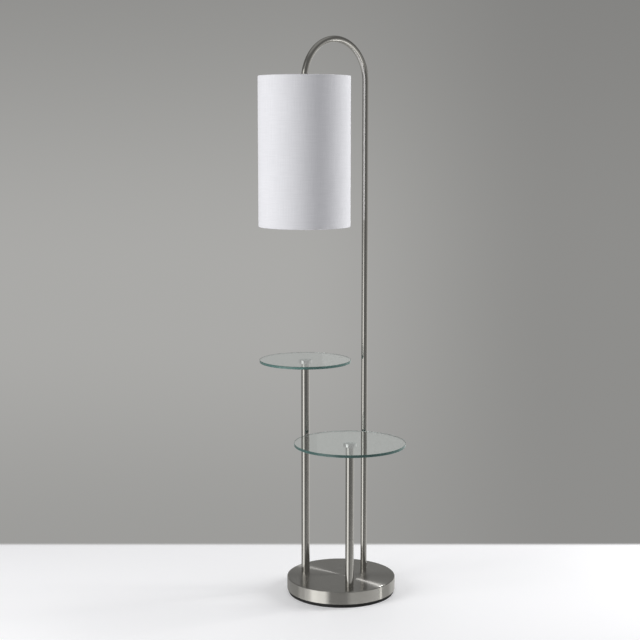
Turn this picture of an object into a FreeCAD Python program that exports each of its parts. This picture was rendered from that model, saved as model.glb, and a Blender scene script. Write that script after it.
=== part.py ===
# Floor lamp with two glass table tops, in millimetres, +Z up.
# Origin: centre of the base on the floor. The lamp pole stands on +X and its
# arch carries the shade over to -X. A table post stands on either side.
import FreeCAD, Part
import math
import os

Vector = FreeCAD.Vector

# ---- driving dimensions: the whole lamp ---------------------------------------
OVERALL_HEIGHT = 1676.4         # floor to the top of the arch, 66 in
POLE_OFFSET = 95.0              # base axis to lamp pole, along +X
SHADE_OFFSET = 147.0            # base axis to shade axis, along -X
POST_OFFSET = 115.0             # base axis to either table post
POST_ANGLE = 120.0              # lamp pole to either table post, in degrees

# ---- base ---------------------------------------------------------------------
BASE_DIAMETER = 330.0           # 13 in
BASE_HEIGHT = 50.0
SKIRT_LIFT = 11.0               # floor to the lower edge of the steel skirt
COVER_WALL = 1.0
COVER_EDGE_RADIUS = 2.5
TRAY_DIAMETER = 323.0
TRAY_WALL = 2.5
TRAY_FLOOR = 3.0
TRAY_RIM_DROP = 1.0             # tray rim below the underside of the cover
PAD_THICKNESS = 3.0
PAD_INSET = 1.5
CAST_GAP = 0.2                  # shrinkage of the weight away from the tray
POCKET_DIAMETER = 40.0
POCKET_CEILING = 26.0           # floor to the face that the washers press on
CHANNEL_WIDTH = 24.0
CHANNEL_TOP = 27.0
CORD_BUSH_BORE = 6.2            # takes a two-core mains cord
CORD_BUSH_DIAMETER = 10.0
CORD_BUSH_FLANGE = 14.0
CORD_BUSH_FLANGE_THICKNESS = 2.0
CORD_BUSH_HEIGHT = 19.0         # floor to the bush axis
CORD_BUSH_TAIL = 4.0            # length past the inside of the tray wall

# ---- tables -------------------------------------------------------------------
UPPER_TABLE_HEIGHT = 714.5
LOWER_TABLE_HEIGHT = 490.5
UPPER_GLASS_DIAMETER = 277.0
LOWER_GLASS_DIAMETER = 330.0
GLASS_THICKNESS = 8.0
GLASS_CHAMFER = 0.8
HUB_DIAMETER = 40.0
HUB_HEIGHT = 10.0
HUB_EDGE = 0.8
POST_DIAMETER = 25.4            # 1 in
POST_WALL = 1.2
PLUG_LENGTH = 25.0

# ---- lamp pole and arch -------------------------------------------------------
POLE_DIAMETER = 19.05           # 3/4 in
POLE_WALL = 1.0
POLE_LOWER_LENGTH = 457.0       # 18 in
ARCH_LEG = 125.0                # straight part of the arch section, pole side
ARCH_END_LEG = 24.0             # straight part of the arch section, shade side
SEAM_CHAMFER = 0.3
INSERT_LENGTH = 14.0

# ---- fasteners ----------------------------------------------------------------
STUD_DIAMETER = 10.0            # M10
STUD_TAIL = 2.5                 # thread showing past a nut
STUD_IN_PLUG = 21.0
HUB_STUD_IN_HUB = 7.0
HUB_STUD_IN_PLUG = 16.0
NUT_FLATS = 17.0
NUT_HEIGHT = 8.0
WASHER_DIAMETER = 30.0
WASHER_THICKNESS = 2.0
LOCK_WASHER_WIDTH = 3.5
LOCK_WASHER_THICKNESS = 2.2
LOCK_WASHER_SLIT = 1.2
NIPPLE_DIAMETER = 9.7           # hollow lamp thread, 1/8 in pipe size
NIPPLE_BORE = 6.8
NIPPLE_NUT_FLATS = 14.3
NIPPLE_NUT_HEIGHT = 4.8
JOINT_NIPPLE_LENGTH = 24.0
NIPPLE_IN_INSERT = 12.0

# ---- lampholder and switch ----------------------------------------------------
CAP_DIAMETER = 34.6
CAP_HEIGHT = 19.0
CAP_DOME = 11.0
CAP_NECK_DIAMETER = 15.0
CAP_NECK_DEPTH = 6.0
SHEET_WALL = 0.6                # cap and shell
SHELL_OVERLAP = 3.0             # shell up inside the cap
SHELL_HEIGHT = 45.0
SHELL_MOUTH_LIP = 1.2
SLEEVE_WALL = 0.7
HOLDER_BODY_HEIGHT = 19.0
SCREW_SHELL_TURNS = 6
THREAD_CREST_DIAMETER = 26.2    # Edison screw, 26 mm
THREAD_DEPTH = 0.8
THREAD_PITCH = 3.63
SCREW_SHELL_WALL = 0.5
SWITCH_DEPTH = 9.0              # switch axis below the top of the holder body
CAM_DIAMETER = 9.2
CAM_LENGTH = 8.0
SWITCH_STEM_DIAMETER = 4.4
KNOB_DIAMETER = 13.0
KNOB_LENGTH = 14.0
KNOB_STANDOFF = 2.0             # knob clear of the shell
KNOB_FLUTES = 16
KNOB_FLUTE_DIAMETER = 1.6
TERMINAL_OFFSET = 9.0
TERMINAL_HEAD_DIAMETER = 6.0
TERMINAL_HEAD_HEIGHT = 2.0
TERMINAL_SHANK_DIAMETER = 3.5
TERMINAL_SHANK_LENGTH = 3.0
CONTACT_DIAMETER = 6.0
CONTACT_HEIGHT = 3.0

# ---- bulb ---------------------------------------------------------------------
BULB_LENGTH = 110.0
BULB_DIAMETER = 60.0
BULB_NECK_DIAMETER = 27.0
BULB_CAP_TURNS = 5
BULB_CAP_WALL = 0.4
BULB_INSULATOR_HEIGHT = 4.0
BULB_CONTACT_DIAMETER = 9.0
BULB_CONTACT_HEIGHT = 1.5
BULB_WALL = 0.8
NECK_TANGENT = 32               # degrees above the ball's middle
GLOBE_CUT = -20                 # degrees: a point on the ball below its middle, for the outline
STEM_DIAMETER = 8.0
STEM_LENGTH = 46.0
FILAMENT_WIRE = 0.5
FILAMENT_SPREAD = 12.0
FILAMENT_DROP = 9.0

# ---- shade --------------------------------------------------------------------
SHADE_DIAMETER = 267.0          # 10.5 in
SHADE_HEIGHT = 431.8            # 17 in
SHADE_RISE = 13.0               # shade top above the ends of the arch's half circle
FABRIC = 0.8
LINER = 0.8
RING_WIRE = 3.2
HEM_DEPTH = 9.0
SEAM_WIDTH = 10.0
SEAM_THICKNESS = 0.4
SPIDER_ARMS = 3
SPIDER_WASHER_DIAMETER = 32.0
SPIDER_WASHER_THICKNESS = 2.0
SPIDER_SHOULDER = 14.0          # level run of an arm beside the ring
SPIDER_INNER_RUN = 26.0         # level run of an arm beside the washer

# ---- wiring -------------------------------------------------------------------
LEAD_DIAMETER = 2.2
LEAD_HALF_SPACING = 1.2
CONNECTOR_DIAMETER = 7.5
CONNECTOR_LENGTH = 18.0
CONNECTOR_WALL = 0.9
CONNECTOR_HALF_SPACING = 5.5
CONNECTOR_DISTANCE = 25.0       # pole axis to the mouth of a connector
LEAD_IN_CONNECTOR = 7.0
LEAD_FAN_OUT = 7.0              # run between the pole and the fanned ends

# ---- clearances ---------------------------------------------------------------
FIT = 0.05                      # pressed, threaded and sliding pieces, per side
RUNNING_FIT = 0.08              # the turning switch cam, per side
HOLE_CLEARANCE = 0.5            # studs and nipples through plain holes, per side
LAYER_GAP = 0.3                 # between fabric, liner and ring wires
REST_GAP = 0.2                  # loose pieces above what they lie on
CUT_PAST = 1.0                  # cutting tools run this far past a face

# ---- places worked out from the sizes -----------------------------------------
BASE_R = BASE_DIAMETER / 2
COVER_UNDERSIDE = BASE_HEIGHT - COVER_WALL
TRAY_R = TRAY_DIAMETER / 2
TRAY_INSIDE_R = TRAY_R - TRAY_WALL
TRAY_TOP_OF_FLOOR = PAD_THICKNESS + TRAY_FLOOR

ARCH_R = (POLE_OFFSET + SHADE_OFFSET) / 2
ARCH_CENTRE_X = (POLE_OFFSET - SHADE_OFFSET) / 2
SPRING_HEIGHT = OVERALL_HEIGHT - POLE_DIAMETER / 2 - ARCH_R
ARCH_FOOT = SPRING_HEIGHT - ARCH_LEG
ARCH_END = SPRING_HEIGHT - ARCH_END_LEG
POLE_SEAM = BASE_HEIGHT + POLE_LOWER_LENGTH
POLE_BORE = POLE_DIAMETER - 2 * POLE_WALL
POST_BORE = POST_DIAMETER - 2 * POST_WALL

LOCKNUT_TOP = ARCH_END - SPIDER_WASHER_THICKNESS
HOLDER_TOP = LOCKNUT_TOP - NIPPLE_NUT_HEIGHT
CAP_RIM = HOLDER_TOP - CAP_HEIGHT
SHELL_TOP = CAP_RIM + SHELL_OVERLAP
SHELL_MOUTH = SHELL_TOP - SHELL_HEIGHT
SHELL_R = CAP_DIAMETER / 2 - SHEET_WALL - FIT
SLEEVE_R = SHELL_R - SHEET_WALL - FIT
HOLDER_BODY_R = SLEEVE_R - SLEEVE_WALL - FIT
HOLDER_BODY_TOP = CAP_RIM
HOLDER_BODY_BOTTOM = HOLDER_BODY_TOP - HOLDER_BODY_HEIGHT
SWITCH_HEIGHT = HOLDER_BODY_TOP - SWITCH_DEPTH
BULB_TIP = HOLDER_BODY_BOTTOM - SCREW_SHELL_WALL - CONTACT_HEIGHT
BULB_BOTTOM = BULB_TIP - BULB_LENGTH

SHADE_R = SHADE_DIAMETER / 2
SHADE_TOP = SPRING_HEIGHT + SHADE_RISE
SHADE_BOTTOM = SHADE_TOP - SHADE_HEIGHT
RING_R = SHADE_R - FABRIC - LAYER_GAP - RING_WIRE / 2
RING_INSET = FABRIC + LAYER_GAP + RING_WIRE / 2
LINER_R = SHADE_R - FABRIC - LAYER_GAP
FLAP_R = LINER_R - LINER - LAYER_GAP    # outside of the hem's inner flap


# ---- helpers ------------------------------------------------------------------
def rod(diameter, low, high, x=0.0, y=0.0):
    return Part.makeCylinder(diameter / 2, high - low, Vector(x, y, low))


def sleeve(outer, inner, low, high, x=0.0, y=0.0):
    bore = rod(inner, low - CUT_PAST, high + CUT_PAST, x, y)
    return rod(outer, low, high, x, y).cut(bore)


def chamfered_sleeve(outer, inner, low, high, x, y, chamfer):
    tube = sleeve(outer, inner, low, high, x, y)
    rims = [edge for edge in tube.Edges
            if isinstance(edge.Curve, Part.Circle) and abs(edge.Curve.Radius - outer / 2) < 1e-6]
    return tube.makeChamfer(chamfer, rims)


def block(low, high):
    size = high - low
    return Part.makeBox(size.x, size.y, size.z, low)


def hex_prism(flats, low, high, x, y):
    corner = flats / math.sqrt(3)
    points = [Vector(x + corner * math.cos(math.radians(60 * i)),
                     y + corner * math.sin(math.radians(60 * i)), low) for i in range(7)]
    return Part.Face(Part.makePolygon(points)).extrude(Vector(0, 0, high - low))


def hex_nut(flats, bore, low, high, x, y):
    return hex_prism(flats, low, high, x, y).cut(rod(bore, low - CUT_PAST, high + CUT_PAST, x, y))


def lock_washer(bore, low, x, y):
    outer = bore + 2 * LOCK_WASHER_WIDTH
    high = low + LOCK_WASHER_THICKNESS
    slit = block(Vector(x, y - LOCK_WASHER_SLIT / 2, low - CUT_PAST),
                 Vector(x + outer, y + LOCK_WASHER_SLIT / 2, high + CUT_PAST))
    return sleeve(outer, bore, low, high, x, y).cut(slit)


def turned(points, x=0.0, y=0.0):
    """A body of revolution from (radius, height) corners, about the upright axis at x, y."""
    corners = [Vector(x + radius, y, height) for radius, height in points]
    face = Part.Face(Part.makePolygon(corners + corners[:1]))
    return face.revolve(Vector(x, y, 0), Vector(0, 0, 1), 360)


def turned_edges(edges, x=0.0, y=0.0):
    face = Part.Face(Part.Wire(edges))
    return face.revolve(Vector(x, y, 0), Vector(0, 0, 1), 360)


def line(start, end):
    return Part.LineSegment(start, end).toShape()


def route(points, bend_radii):
    """A smooth path: straight runs through the points, joined by tangent arcs."""
    edges = []
    start = points[0]
    for before, corner, after, radius in zip(points, points[1:], points[2:], bend_radii):
        towards = (before - corner).normalize()
        onward = (after - corner).normalize()
        half_angle = towards.getAngle(onward) / 2
        setback = radius / math.tan(half_angle)
        entry = corner + towards * setback
        leave = corner + onward * setback
        bisector = (towards + onward).normalize()
        middle = corner + bisector * (radius / math.sin(half_angle) - radius)
        if (entry - start).Length > 1e-4:
            edges.append(line(start, entry))
        edges.append(Part.Arc(entry, middle, leave).toShape())
        start = leave
    edges.append(line(start, points[-1]))
    return Part.Wire(edges)


def swept_round(path, diameter):
    first = path.OrderedEdges[0]
    start = first.valueAt(first.FirstParameter)
    along = first.tangentAt(first.FirstParameter)
    disc = Part.Face(Part.Wire(Part.makeCircle(diameter / 2, start, along)))
    return path.makePipe(disc)


def group(shapes):
    return Part.makeCompound(shapes)


def post_place(side):
    angle = math.radians(side * POST_ANGLE)
    return POST_OFFSET * math.cos(angle), POST_OFFSET * math.sin(angle)


UPPER_POST = post_place(+1)
LOWER_POST = post_place(-1)
POSTS = [UPPER_POST, LOWER_POST]
POST_TOPS = [UPPER_TABLE_HEIGHT - GLASS_THICKNESS - HUB_HEIGHT,
             LOWER_TABLE_HEIGHT - GLASS_THICKNESS - HUB_HEIGHT]
POLE = (POLE_OFFSET, 0.0)


# ---- base ---------------------------------------------------------------------
def make_base_cover():
    pan = rod(BASE_DIAMETER, SKIRT_LIFT, BASE_HEIGHT)
    pan = pan.makeFillet(COVER_EDGE_RADIUS, circle_edges(pan, BASE_R, BASE_HEIGHT))
    inside = rod(BASE_DIAMETER - 2 * COVER_WALL, SKIRT_LIFT - CUT_PAST, COVER_UNDERSIDE)
    rim = circle_edges(inside, BASE_R - COVER_WALL, COVER_UNDERSIDE)
    inside = inside.makeFillet(COVER_EDGE_RADIUS - COVER_WALL, rim)
    pan = pan.cut(inside)
    for x, y in POSTS:
        pan = pan.cut(rod(STUD_DIAMETER + 2 * HOLE_CLEARANCE, 0, BASE_HEIGHT + CUT_PAST, x, y))
    pan = pan.cut(rod(NIPPLE_DIAMETER + 2 * HOLE_CLEARANCE, 0, BASE_HEIGHT + CUT_PAST, *POLE))
    return pan.cut(cord_tool(CORD_BUSH_DIAMETER + 2 * FIT, BASE_R + CUT_PAST))


def circle_edges(shape, radius, height):
    return [edge for edge in shape.Edges
            if isinstance(edge.Curve, Part.Circle)
            and abs(edge.Curve.Radius - radius) < 1e-6
            and abs(edge.CenterOfMass.z - height) < 1e-6]


def cord_tool(diameter, end):
    """A round bar along +X at the cord bush, from the tray's inside out to end."""
    start = TRAY_INSIDE_R - CORD_BUSH_TAIL
    return Part.makeCylinder(diameter / 2, end - start,
                             Vector(start, 0, CORD_BUSH_HEIGHT), Vector(1, 0, 0))


def pocket_tools(top):
    return [rod(POCKET_DIAMETER, 0, top, x, y) for x, y in POSTS + [POLE]]


def make_base_tray():
    tray = turned([(0, PAD_THICKNESS), (TRAY_R, PAD_THICKNESS),
                   (TRAY_R, COVER_UNDERSIDE - TRAY_RIM_DROP),
                   (TRAY_INSIDE_R, COVER_UNDERSIDE - TRAY_RIM_DROP),
                   (TRAY_INSIDE_R, TRAY_TOP_OF_FLOOR), (0, TRAY_TOP_OF_FLOOR)])
    for tool in pocket_tools(TRAY_TOP_OF_FLOOR + CUT_PAST):
        tray = tray.cut(tool)
    return tray.cut(cord_tool(CORD_BUSH_DIAMETER + 2 * FIT, BASE_R))


def make_base_weight():
    weight = rod(2 * (TRAY_INSIDE_R - CAST_GAP), TRAY_TOP_OF_FLOOR, COVER_UNDERSIDE)
    for tool in pocket_tools(POCKET_CEILING):
        weight = weight.cut(tool)
    for x, y in POSTS:
        weight = weight.cut(rod(STUD_DIAMETER + 2 * HOLE_CLEARANCE, 0, BASE_HEIGHT, x, y))
    weight = weight.cut(rod(NIPPLE_DIAMETER + 2 * HOLE_CLEARANCE, 0, BASE_HEIGHT, *POLE))
    channel = block(Vector(POLE_OFFSET, -CHANNEL_WIDTH / 2, 0),
                    Vector(BASE_R, CHANNEL_WIDTH / 2, CHANNEL_TOP))
    return weight.cut(channel)


def make_base_pad():
    pad = rod(2 * (TRAY_R - PAD_INSET), 0, PAD_THICKNESS)
    for tool in pocket_tools(PAD_THICKNESS + CUT_PAST):
        pad = pad.cut(tool)
    return pad


def make_cord_bush():
    flange = Part.makeCylinder(CORD_BUSH_FLANGE / 2, CORD_BUSH_FLANGE_THICKNESS,
                               Vector(BASE_R + REST_GAP, 0, CORD_BUSH_HEIGHT), Vector(1, 0, 0))
    barrel = cord_tool(CORD_BUSH_DIAMETER, BASE_R + REST_GAP + CORD_BUSH_FLANGE_THICKNESS)
    bore = cord_tool(CORD_BUSH_BORE, BASE_R + CORD_BUSH_FLANGE_THICKNESS + REST_GAP + CUT_PAST)
    past = bore.copy()
    past.translate(Vector(-CUT_PAST, 0, 0))
    return barrel.fuse(flange).removeSplitter().cut(bore.fuse(past))


# ---- table posts and their fasteners ------------------------------------------
def make_post(place, top):
    return chamfered_sleeve(POST_DIAMETER, POST_BORE, BASE_HEIGHT, top, *place, SEAM_CHAMFER)


def make_post_plugs(at_top):
    plugs = []
    for (x, y), top in zip(POSTS, POST_TOPS):
        low = top - PLUG_LENGTH if at_top else BASE_HEIGHT
        plugs.append(sleeve(POST_BORE - 2 * FIT, STUD_DIAMETER + 2 * FIT, low, low + PLUG_LENGTH, x, y))
    return group(plugs)


WASHER_LOW = POCKET_CEILING - WASHER_THICKNESS
LOCK_WASHER_LOW = WASHER_LOW - LOCK_WASHER_THICKNESS
NUT_LOW = LOCK_WASHER_LOW - NUT_HEIGHT
NIPPLE_NUT_LOW = LOCK_WASHER_LOW - NIPPLE_NUT_HEIGHT


def make_post_studs():
    return group([rod(STUD_DIAMETER, NUT_LOW - STUD_TAIL, BASE_HEIGHT + STUD_IN_PLUG, x, y)
                  for x, y in POSTS])


def make_post_washers():
    bore = STUD_DIAMETER + 2 * HOLE_CLEARANCE
    return group([sleeve(WASHER_DIAMETER, bore, WASHER_LOW, POCKET_CEILING, x, y) for x, y in POSTS])


def make_post_lock_washers():
    bore = STUD_DIAMETER + 2 * REST_GAP
    return group([lock_washer(bore, LOCK_WASHER_LOW, x, y) for x, y in POSTS])


def make_post_nuts():
    bore = STUD_DIAMETER + 2 * FIT
    return group([hex_nut(NUT_FLATS, bore, NUT_LOW, LOCK_WASHER_LOW, x, y) for x, y in POSTS])


# ---- table tops ---------------------------------------------------------------
def make_glass_top(place, height, diameter):
    low = height - GLASS_THICKNESS
    radius = diameter / 2
    return turned([(0, low), (radius - GLASS_CHAMFER, low), (radius, low + GLASS_CHAMFER),
                   (radius, height - GLASS_CHAMFER), (radius - GLASS_CHAMFER, height),
                   (0, height)], *place)


def make_hub(place, post_top):
    x, y = place
    high = post_top + HUB_HEIGHT
    radius = HUB_DIAMETER / 2
    hub = turned([(0, post_top), (radius - HUB_EDGE, post_top), (radius, post_top + HUB_EDGE),
                  (radius, high), (0, high)], x, y)
    hole = rod(STUD_DIAMETER + 2 * FIT, post_top - CUT_PAST, post_top + HUB_STUD_IN_HUB + FIT, x, y)
    return hub.cut(hole)


def make_hub_studs():
    return group([rod(STUD_DIAMETER, top - HUB_STUD_IN_PLUG, top + HUB_STUD_IN_HUB, x, y)
                  for (x, y), top in zip(POSTS, POST_TOPS)])


# ---- lamp pole, arch and their threaded joints ----------------------------------
def make_pole_section(low, high):
    return chamfered_sleeve(POLE_DIAMETER, POLE_BORE, low, high, *POLE, SEAM_CHAMFER)


def half_ring(diameter, x):
    disc = Part.Face(Part.Wire(Part.makeCircle(diameter / 2, Vector(x, 0, SPRING_HEIGHT),
                                               Vector(0, 0, 1))))
    return disc.revolve(Vector(ARCH_CENTRE_X, 0, SPRING_HEIGHT), Vector(0, -1, 0), 180)


def make_lamp_arch():
    foot = chamfered_sleeve(POLE_DIAMETER, POLE_BORE, ARCH_FOOT, SPRING_HEIGHT + CUT_PAST,
                            *POLE, SEAM_CHAMFER)
    foot = foot.cut(rod(2 * POLE_DIAMETER, SPRING_HEIGHT, SPRING_HEIGHT + 2 * CUT_PAST, *POLE))
    end = sleeve(POLE_DIAMETER, POLE_BORE, ARCH_END, SPRING_HEIGHT, -SHADE_OFFSET, 0)
    bend = half_ring(POLE_DIAMETER, POLE_OFFSET).cut(half_ring(POLE_BORE, POLE_OFFSET))
    return foot.fuse([bend, end]).removeSplitter()


def make_pole_inserts():
    outer = POLE_BORE - 2 * FIT
    bore = NIPPLE_DIAMETER + 2 * FIT
    lows = [BASE_HEIGHT, POLE_SEAM - INSERT_LENGTH, POLE_SEAM, ARCH_FOOT - INSERT_LENGTH, ARCH_FOOT]
    inserts = [sleeve(outer, bore, low, low + INSERT_LENGTH, *POLE) for low in lows]
    inserts.append(sleeve(outer, bore, ARCH_END, ARCH_END + INSERT_LENGTH, -SHADE_OFFSET, 0))
    return group(inserts)


def nipple(low, high, x, y=0.0):
    return sleeve(NIPPLE_DIAMETER, NIPPLE_BORE, low, high, x, y)


def make_joint_nipples():
    half = JOINT_NIPPLE_LENGTH / 2
    return group([nipple(seam - half, seam + half, POLE_OFFSET) for seam in (POLE_SEAM, ARCH_FOOT)])


def make_base_nipple():
    return nipple(NIPPLE_NUT_LOW - STUD_TAIL, BASE_HEIGHT + NIPPLE_IN_INSERT, POLE_OFFSET)


def make_base_nipple_washer():
    bore = NIPPLE_DIAMETER + 2 * HOLE_CLEARANCE
    return sleeve(WASHER_DIAMETER, bore, WASHER_LOW, POCKET_CEILING, *POLE)


def make_base_nipple_lock_washer():
    return lock_washer(NIPPLE_DIAMETER + 2 * REST_GAP, LOCK_WASHER_LOW, *POLE)


def make_base_nipple_nut():
    bore = NIPPLE_DIAMETER + 2 * FIT
    return hex_nut(NIPPLE_NUT_FLATS, bore, NIPPLE_NUT_LOW, LOCK_WASHER_LOW, *POLE)


# ---- lampholder -----------------------------------------------------------------
HEAD = (-SHADE_OFFSET, 0.0)


def make_head_nipple():
    return nipple(HOLDER_TOP - CAP_NECK_DEPTH, ARCH_END + NIPPLE_IN_INSERT, *HEAD)


def make_head_locknut():
    bore = NIPPLE_DIAMETER + 2 * FIT
    return hex_nut(NIPPLE_NUT_FLATS, bore, HOLDER_TOP, LOCKNUT_TOP, *HEAD)


def make_holder_cap():
    x, y = HEAD
    rim_r = CAP_DIAMETER / 2
    neck_r = CAP_NECK_DIAMETER / 2
    thread_r = NIPPLE_DIAMETER / 2 + FIT
    dome_low = HOLDER_TOP - CAP_DOME
    bend = math.radians(45)

    def dome(start_r, start_h, end_r, end_h):
        middle = Vector(x + start_r + (end_r - start_r) * math.sin(bend), y,
                        end_h + (start_h - end_h) * math.cos(bend))
        return Part.Arc(Vector(x + start_r, y, start_h), middle, Vector(x + end_r, y, end_h)).toShape()

    def straight(r1, h1, r2, h2):
        return line(Vector(x + r1, y, h1), Vector(x + r2, y, h2))

    neck_low = HOLDER_TOP - CAP_NECK_DEPTH
    inner_r = rim_r - SHEET_WALL
    inner_neck = neck_r - SHEET_WALL
    inner_top = HOLDER_TOP - SHEET_WALL
    sheet = [dome(neck_r, HOLDER_TOP, rim_r, dome_low),
             straight(rim_r, dome_low, rim_r, CAP_RIM),
             straight(rim_r, CAP_RIM, inner_r, CAP_RIM),
             straight(inner_r, CAP_RIM, inner_r, dome_low),
             dome(neck_r, inner_top, inner_r, dome_low),
             straight(neck_r, inner_top, inner_neck, inner_top),
             straight(inner_neck, inner_top, inner_neck, neck_low),
             straight(inner_neck, neck_low, thread_r, neck_low),
             straight(thread_r, neck_low, thread_r, HOLDER_TOP),
             straight(thread_r, HOLDER_TOP, neck_r, HOLDER_TOP)]
    return turned_edges(Part.__sortEdges__(sheet), x, y)


def switch_bar(diameter, start, end):
    """A round bar on the switch axis, start and end measured from the holder axis."""
    x, y = HEAD
    return Part.makeCylinder(diameter / 2, end - start, Vector(x, y + start, SWITCH_HEIGHT),
                             Vector(0, 1, 0))


CHAMBER_DIAMETER = CAM_DIAMETER + 2 * RUNNING_FIT
CAM_BACK = -CAM_LENGTH / 2
CAM_FRONT = CAM_LENGTH / 2
STEM_HOLE = SWITCH_STEM_DIAMETER + 2 * HOLE_CLEARANCE
KNOB_BACK = CAP_DIAMETER / 2 + KNOB_STANDOFF


def make_holder_shell():
    x, y = HEAD
    outer = SHELL_R
    inner = SHELL_R - SHEET_WALL
    lip = SHELL_R + SHELL_MOUTH_LIP
    shell = turned([(inner, SHELL_TOP), (outer, SHELL_TOP),
                    (outer, SHELL_MOUTH + 2 * SHELL_MOUTH_LIP), (lip, SHELL_MOUTH + SHELL_MOUTH_LIP),
                    (lip, SHELL_MOUTH), (inner, SHELL_MOUTH)], x, y)
    return shell.cut(switch_bar(STEM_HOLE, 0, CAP_DIAMETER))


def make_holder_sleeve():
    x, y = HEAD
    paper = sleeve(2 * SLEEVE_R, 2 * (SLEEVE_R - SLEEVE_WALL), SHELL_MOUTH, CAP_RIM, x, y)
    return paper.cut(switch_bar(STEM_HOLE, 0, CAP_DIAMETER))


def terminal_places():
    x, y = HEAD
    return [(x, y - TERMINAL_OFFSET), (x, y + TERMINAL_OFFSET)]


def make_holder_body():
    x, y = HEAD
    body = rod(2 * HOLDER_BODY_R, HOLDER_BODY_BOTTOM, HOLDER_BODY_TOP, x, y)
    body = body.cut(switch_bar(CHAMBER_DIAMETER, CAM_BACK - REST_GAP, CAP_DIAMETER))
    for tx, ty in terminal_places():
        hole = rod(TERMINAL_SHANK_DIAMETER + 2 * FIT, HOLDER_BODY_TOP - TERMINAL_SHANK_LENGTH - FIT,
                   HOLDER_BODY_TOP + CUT_PAST, tx, ty)
        body = body.cut(hole)
    return body


def make_terminal_screws():
    screws = []
    for x, y in terminal_places():
        shank = rod(TERMINAL_SHANK_DIAMETER, HOLDER_BODY_TOP - TERMINAL_SHANK_LENGTH,
                    HOLDER_BODY_TOP, x, y)
        head = rod(TERMINAL_HEAD_DIAMETER, HOLDER_BODY_TOP, HOLDER_BODY_TOP + TERMINAL_HEAD_HEIGHT,
                   x, y)
        screws.append(shank.fuse(head))
    return group(screws)


def screw_profile(crest_r, start, end):
    """Crests and roots of a rolled screw, as (radius, height) from start down to end.

    The roots lie whole pitches below the holder body, so that cap and holder mesh.
    """
    root_r = crest_r - THREAD_DEPTH
    first = math.ceil((HOLDER_BODY_BOTTOM - start) / THREAD_PITCH)
    last = math.floor((HOLDER_BODY_BOTTOM - end) / THREAD_PITCH + 1e-6)
    roots = [HOLDER_BODY_BOTTOM - i * THREAD_PITCH for i in range(first, last + 1)]
    points = [(root_r, start)]
    for root in roots[:-1]:
        points += [(root_r, root), (crest_r, root - THREAD_PITCH / 2)]
    points += [(root_r, roots[-1]), (root_r, end)]
    return [point for point, nearby in zip(points, points[1:] + [(0, 0)]) if point != nearby]


def rolled_wall(crest_r, wall, start, end):
    outside = screw_profile(crest_r, start, end)
    inside = [(radius - wall, height) for radius, height in reversed(outside)]
    return outside, inside


def make_screw_shell():
    x, y = HEAD
    low = HOLDER_BODY_BOTTOM - SCREW_SHELL_TURNS * THREAD_PITCH
    crest = THREAD_CREST_DIAMETER / 2 + SCREW_SHELL_WALL + REST_GAP
    outside, inside = rolled_wall(crest, SCREW_SHELL_WALL, HOLDER_BODY_BOTTOM, low)
    under_lid = HOLDER_BODY_BOTTOM - SCREW_SHELL_WALL
    opening = CONTACT_DIAMETER / 2 + HOLE_CLEARANCE
    shell = turned(outside + inside, x, y)
    lid = sleeve(2 * (crest - THREAD_DEPTH), 2 * opening, under_lid, HOLDER_BODY_BOTTOM, x, y)
    return shell.fuse(lid).removeSplitter()


def make_centre_contact():
    high = HOLDER_BODY_BOTTOM
    return rod(CONTACT_DIAMETER, high - SCREW_SHELL_WALL - CONTACT_HEIGHT + REST_GAP, high, *HEAD)


def make_switch_shaft():
    cam = switch_bar(CAM_DIAMETER, CAM_BACK, CAM_FRONT)
    stem = switch_bar(SWITCH_STEM_DIAMETER, CAM_BACK, KNOB_BACK + KNOB_LENGTH - CUT_PAST)
    return cam.fuse(stem).removeSplitter()


def make_switch_knob():
    x, y = HEAD
    front = KNOB_BACK + KNOB_LENGTH
    knob = switch_bar(KNOB_DIAMETER, KNOB_BACK, front)
    knob = knob.cut(switch_bar(SWITCH_STEM_DIAMETER + 2 * FIT, KNOB_BACK - CUT_PAST,
                               front - CUT_PAST + FIT))
    flute = switch_bar(KNOB_FLUTE_DIAMETER, KNOB_BACK + CUT_PAST, front + CUT_PAST)
    flute.translate(Vector(KNOB_DIAMETER / 2, 0, 0))
    for i in range(KNOB_FLUTES):
        turned_flute = flute.copy()
        turned_flute.rotate(Vector(x, y, SWITCH_HEIGHT), Vector(0, 1, 0), i * 360 / KNOB_FLUTES)
        knob = knob.cut(turned_flute)
    return knob


# ---- bulb -----------------------------------------------------------------------
BULB_CAP_TOP = BULB_TIP - BULB_CONTACT_HEIGHT - BULB_INSULATOR_HEIGHT
BULB_CAP_LOW = BULB_CAP_TOP - BULB_CAP_TURNS * THREAD_PITCH
BULB_CENTRE = BULB_BOTTOM + BULB_DIAMETER / 2


def make_bulb_cap():
    crest = THREAD_CREST_DIAMETER / 2 - REST_GAP
    outside, inside = rolled_wall(crest, BULB_CAP_WALL, BULB_CAP_TOP, BULB_CAP_LOW)
    return turned(outside + inside, *HEAD)


def make_bulb_insulator():
    top_r = BULB_CONTACT_DIAMETER / 2 + HOLE_CLEARANCE
    low_r = THREAD_CREST_DIAMETER / 2 - REST_GAP - THREAD_DEPTH
    return turned([(0, BULB_CAP_TOP), (low_r, BULB_CAP_TOP),
                   (top_r, BULB_CAP_TOP + BULB_INSULATOR_HEIGHT),
                   (0, BULB_CAP_TOP + BULB_INSULATOR_HEIGHT)], *HEAD)


def make_bulb_contact():
    high = BULB_TIP
    return rod(BULB_CONTACT_DIAMETER, high - BULB_CONTACT_HEIGHT, high, *HEAD)


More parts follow.
